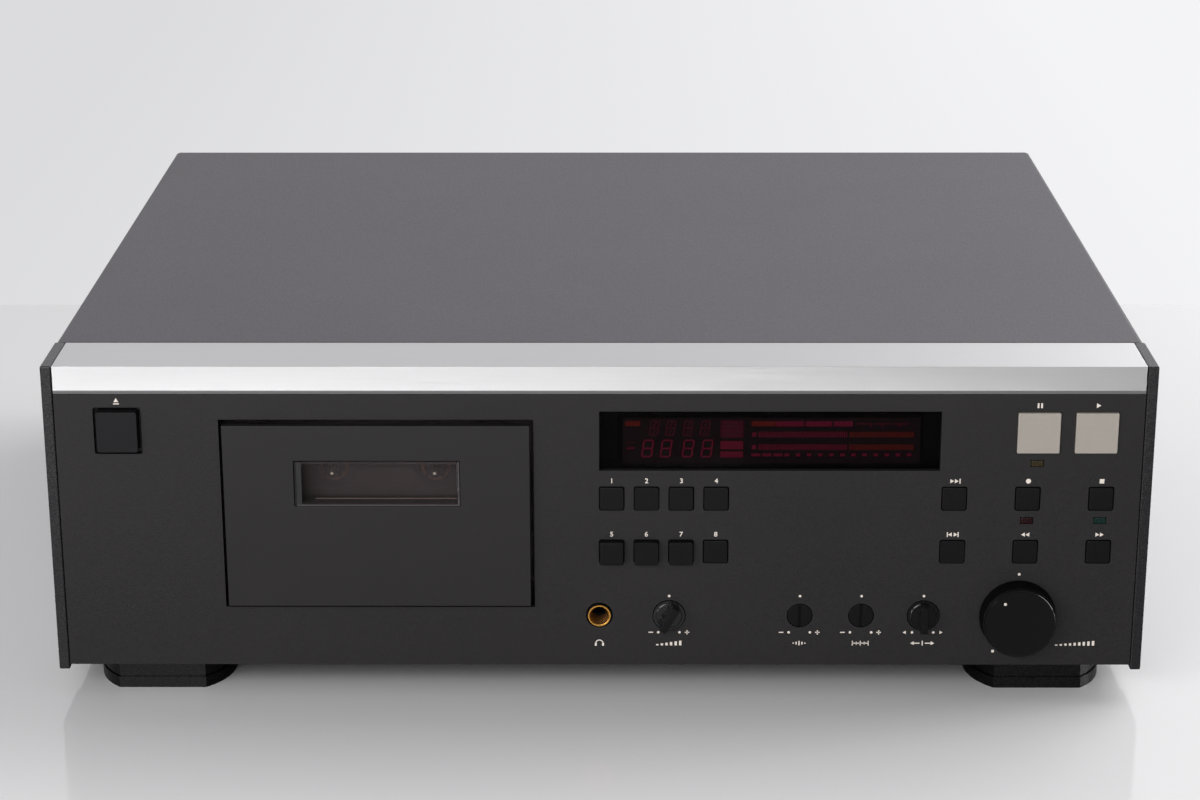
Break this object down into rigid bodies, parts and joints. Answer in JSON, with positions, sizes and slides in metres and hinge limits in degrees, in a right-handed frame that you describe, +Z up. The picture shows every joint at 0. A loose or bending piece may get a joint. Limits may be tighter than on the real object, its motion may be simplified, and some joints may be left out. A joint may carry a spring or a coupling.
{
  "type": "cassette deck",
  "caption": "Front-loading cassette tape deck with a hinged door, display, push keys, rotary level controls and a phones socket.",
  "frame": {"origin": "middle of the footprint of the whole deck, on the floor under its feet", "axes": "+X to the right as seen from the front, +Y from the front panel to the back, +Z up"},
  "size_m": [0.45, 0.3866, 0.1442],
  "materials": {
    "powder_coated_steel": "fine textured grey powder coat",
    "satin_aluminium": "satin",
    "panel_paint": "fine textured dark grey paint",
    "door_paint": "satin dark grey",
    "black_plastic": "black, glossy",
    "black_cheek": "black, satin",
    "grey_plastic": "warm light grey",
    "foot_plastic": "black, matt",
    "smoked_window": "clear, smoked",
    "tube_glass": "dark red glass with segments behind it",
    "zinc_steel": "zinc plated sheet",
    "gold_plate": "gold plated",
    "bright_steel": "ground bright",
    "roller_rubber": "matt",
    "circuit_board": "green solder mask",
    "amber_lens": "tinted amber, unlit",
    "red_lens": "tinted red, unlit",
    "green_lens": "tinted green, unlit"
  },
  "bodies": {
    "case": {"top_cover": "powder_coated_steel", "bottom_tray": "zinc_steel", "rear_panel": "powder_coated_steel", "front_frame": "zinc_steel", "front_panel": "panel_paint", "trim_bar": "satin_aluminium", "left_cheek": "black_cheek", "right_cheek": "black_cheek", "front_left_foot": "foot_plastic", "front_right_foot": "foot_plastic", "rear_left_foot": "foot_plastic", "rear_right_foot": "foot_plastic", "transport_chassis": "zinc_steel", "supply_motor": "zinc_steel", "take_up_motor": "zinc_steel", "display_lens": "smoked_window", "display_tube": "tube_glass", "pause_lamp": "amber_lens", "record_lamp": "red_lens", "play_lamp": "green_lens", "phones_socket_sleeve": "gold_plate", "phones_socket_body": "black_cheek", "dial_board": "circuit_board", "control_board": "circuit_board", "main_board": "circuit_board", "mains_transformer": "zinc_steel", "line_sockets": "bright_steel", "mains_inlet": "black_cheek"},
    "door": {"door_panel": "door_paint", "door_window": "smoked_window", "cassette_carrier": "black_cheek"},
    "supply_spindle": {"supply_spindle": "black_cheek"},
    "take_up_spindle": {"take_up_spindle": "black_cheek"},
    "left_capstan": {"left_capstan": "bright_steel"},
    "right_capstan": {"right_capstan": "bright_steel"},
    "left_pinch_roller": {"left_pinch_roller": "roller_rubber"},
    "right_pinch_roller": {"right_pinch_roller": "roller_rubber"},
    "head_bridge": {"head_bridge": "bright_steel"},
    "eject_button": {"eject_button": "black_cheek"},
    "time_key": {"time_key": "black_plastic"},
    "memory_key": {"memory_key": "black_plastic"},
    "reset_key": {"reset_key": "black_plastic"},
    "loop_key": {"loop_key": "black_plastic"},
    "monitor_key": {"monitor_key": "black_plastic"},
    "quick_search_key": {"quick_search_key": "black_plastic"},
    "auto_search_key": {"auto_search_key": "black_plastic"},
    "record_key": {"record_key": "black_plastic"},
    "rewind_key": {"rewind_key": "black_plastic"},
    "stop_key": {"stop_key": "black_plastic"},
    "forward_key": {"forward_key": "black_plastic"},
    "noise_reduction_key": {"noise_reduction_key": "black_plastic"},
    "noise_curve_key": {"noise_curve_key": "black_plastic"},
    "pilot_filter_key": {"pilot_filter_key": "black_plastic"},
    "pause_key": {"pause_key": "grey_plastic"},
    "play_key": {"play_key": "grey_plastic"},
    "volume_knob": {"volume_knob": "black_plastic"},
    "balance_knob": {"balance_knob": "black_plastic"},
    "bias_trimmer": {"bias_trimmer": "black_plastic"},
    "calibration_trimmer": {"calibration_trimmer": "black_plastic"},
    "input_level_knob": {"input_level_knob": "black_plastic"}
  },
  "joints": [
    {"name": "door_hinge", "type": "hinge", "parent": "case", "child": "door", "pos_m": [-0.0904, -0.17765, 0.037], "axis": [1, 0, 0], "range_deg": [0, 25]},
    {"name": "eject_press", "type": "slide", "parent": "case", "child": "eject_button", "axis": [0, 1, 0], "range_m": [0, 0.003], "stiffness_N_per_m": 150},
    {"name": "time_press", "type": "slide", "parent": "case", "child": "time_key", "axis": [0, 1, 0], "range_m": [0, 0.001], "stiffness_N_per_m": 300},
    {"name": "memory_press", "type": "slide", "parent": "case", "child": "memory_key", "axis": [0, 1, 0], "range_m": [0, 0.001], "stiffness_N_per_m": 300},
    {"name": "reset_press", "type": "slide", "parent": "case", "child": "reset_key", "axis": [0, 1, 0], "range_m": [0, 0.001], "stiffness_N_per_m": 300},
    {"name": "loop_press", "type": "slide", "parent": "case", "child": "loop_key", "axis": [0, 1, 0], "range_m": [0, 0.001], "stiffness_N_per_m": 300},
    {"name": "monitor_press", "type": "slide", "parent": "case", "child": "monitor_key", "axis": [0, 1, 0], "range_m": [0, 0.001], "stiffness_N_per_m": 300},
    {"name": "quick_search_press", "type": "slide", "parent": "case", "child": "quick_search_key", "axis": [0, 1, 0], "range_m": [0, 0.001], "stiffness_N_per_m": 300},
    {"name": "auto_search_press", "type": "slide", "parent": "case", "child": "auto_search_key", "axis": [0, 1, 0], "range_m": [0, 0.001], "stiffness_N_per_m": 300},
    {"name": "record_press", "type": "slide", "parent": "case", "child": "record_key", "axis": [0, 1, 0], "range_m": [0, 0.001], "stiffness_N_per_m": 300},
    {"name": "rewind_press", "type": "slide", "parent": "case", "child": "rewind_key", "axis": [0, 1, 0], "range_m": [0, 0.001], "stiffness_N_per_m": 300},
    {"name": "stop_press", "type": "slide", "parent": "case", "child": "stop_key", "axis": [0, 1, 0], "range_m": [0, 0.001], "stiffness_N_per_m": 300},
    {"name": "forward_press", "type": "slide", "parent": "case", "child": "forward_key", "axis": [0, 1, 0], "range_m": [0, 0.001], "stiffness_N_per_m": 300},
    {"name": "noise_reduction_press", "type": "slide", "parent": "case", "child": "noise_reduction_key", "axis": [0, 1, 0], "range_m": [0, 0.0024], "stiffness_N_per_m": 200},
    {"name": "noise_curve_press", "type": "slide", "parent": "case", "child": "noise_curve_key", "axis": [0, 1, 0], "range_m": [0, 0.0024], "stiffness_N_per_m": 200},
    {"name": "pilot_filter_press", "type": "slide", "parent": "case", "child": "pilot_filter_key", "axis": [0, 1, 0], "range_m": [0, 0.0024], "stiffness_N_per_m": 200},
    {"name": "pause_press", "type": "slide", "parent": "case", "child": "pause_key", "axis": [0, 1, 0], "range_m": [0, 0.001], "stiffness_N_per_m": 300},
    {"name": "play_press", "type": "slide", "parent": "case", "child": "play_key", "axis": [0, 1, 0], "range_m": [0, 0.001], "stiffness_N_per_m": 300},
    {"name": "volume_turn", "type": "hinge", "parent": "case", "child": "volume_knob", "pos_m": [0.0288, -0.18385, 0.0362], "axis": [0, -1, 0], "range_deg": [-300, 0]},
    {"name": "bias_turn", "type": "hinge", "parent": "case", "child": "bias_trimmer", "pos_m": [0.0828, -0.18385, 0.0362], "axis": [0, -1, 0], "range_deg": [-150, 150]},
    {"name": "calibration_turn", "type": "hinge", "parent": "case", "child": "calibration_trimmer", "pos_m": [0.1082, -0.18385, 0.0362], "axis": [0, -1, 0], "range_deg": [-150, 150]},
    {"name": "balance_turn", "type": "hinge", "parent": "case", "child": "balance_knob", "pos_m": [0.1339, -0.18385, 0.0362], "axis": [0, -1, 0], "range_deg": [-150, 150]},
    {"name": "input_level_turn", "type": "hinge", "parent": "case", "child": "input_level_knob", "pos_m": [0.1727, -0.18385, 0.0362], "axis": [0, -1, 0], "range_deg": [-186, 114]},
    {"name": "supply_spin", "type": "hinge", "parent": "case", "child": "supply_spindle", "pos_m": [-0.1107, -0.18385, 0.0919], "axis": [0, -1, 0], "continuous": true},
    {"name": "take_up_spin", "type": "hinge", "parent": "case", "child": "take_up_spindle", "pos_m": [-0.0682, -0.18385, 0.0919], "axis": [0, -1, 0], "continuous": true},
    {"name": "left_capstan_spin", "type": "hinge", "parent": "case", "child": "left_capstan", "pos_m": [-0.11895, -0.18385, 0.066], "axis": [0, -1, 0], "continuous": true},
    {"name": "right_capstan_spin", "type": "hinge", "parent": "case", "child": "right_capstan", "pos_m": [-0.05995, -0.18385, 0.066], "axis": [0, -1, 0], "continuous": true},
    {"name": "head_bridge_lift", "type": "slide", "parent": "case", "child": "head_bridge", "axis": [0, 0, 1], "range_m": [0, 0.006]},
    {"name": "left_pinch_swing", "type": "hinge", "parent": "case", "child": "left_pinch_roller", "pos_m": [-0.13495, -0.18385, 0.052], "axis": [0, -1, 0], "range_deg": [0, 20.01]},
    {"name": "right_pinch_swing", "type": "hinge", "parent": "case", "child": "right_pinch_roller", "pos_m": [-0.04395, -0.18385, 0.052], "axis": [0, 1, 0], "range_deg": [0, 20.01]}
  ],
  "couplings": [
    {"joint": "left_pinch_swing", "follows": "head_bridge_lift", "rad_per_m": 58.178},
    {"joint": "right_pinch_swing", "follows": "head_bridge_lift", "rad_per_m": 58.178},
    {"joint": "right_capstan_spin", "follows": "left_capstan_spin", "ratio": 1}
  ]
}
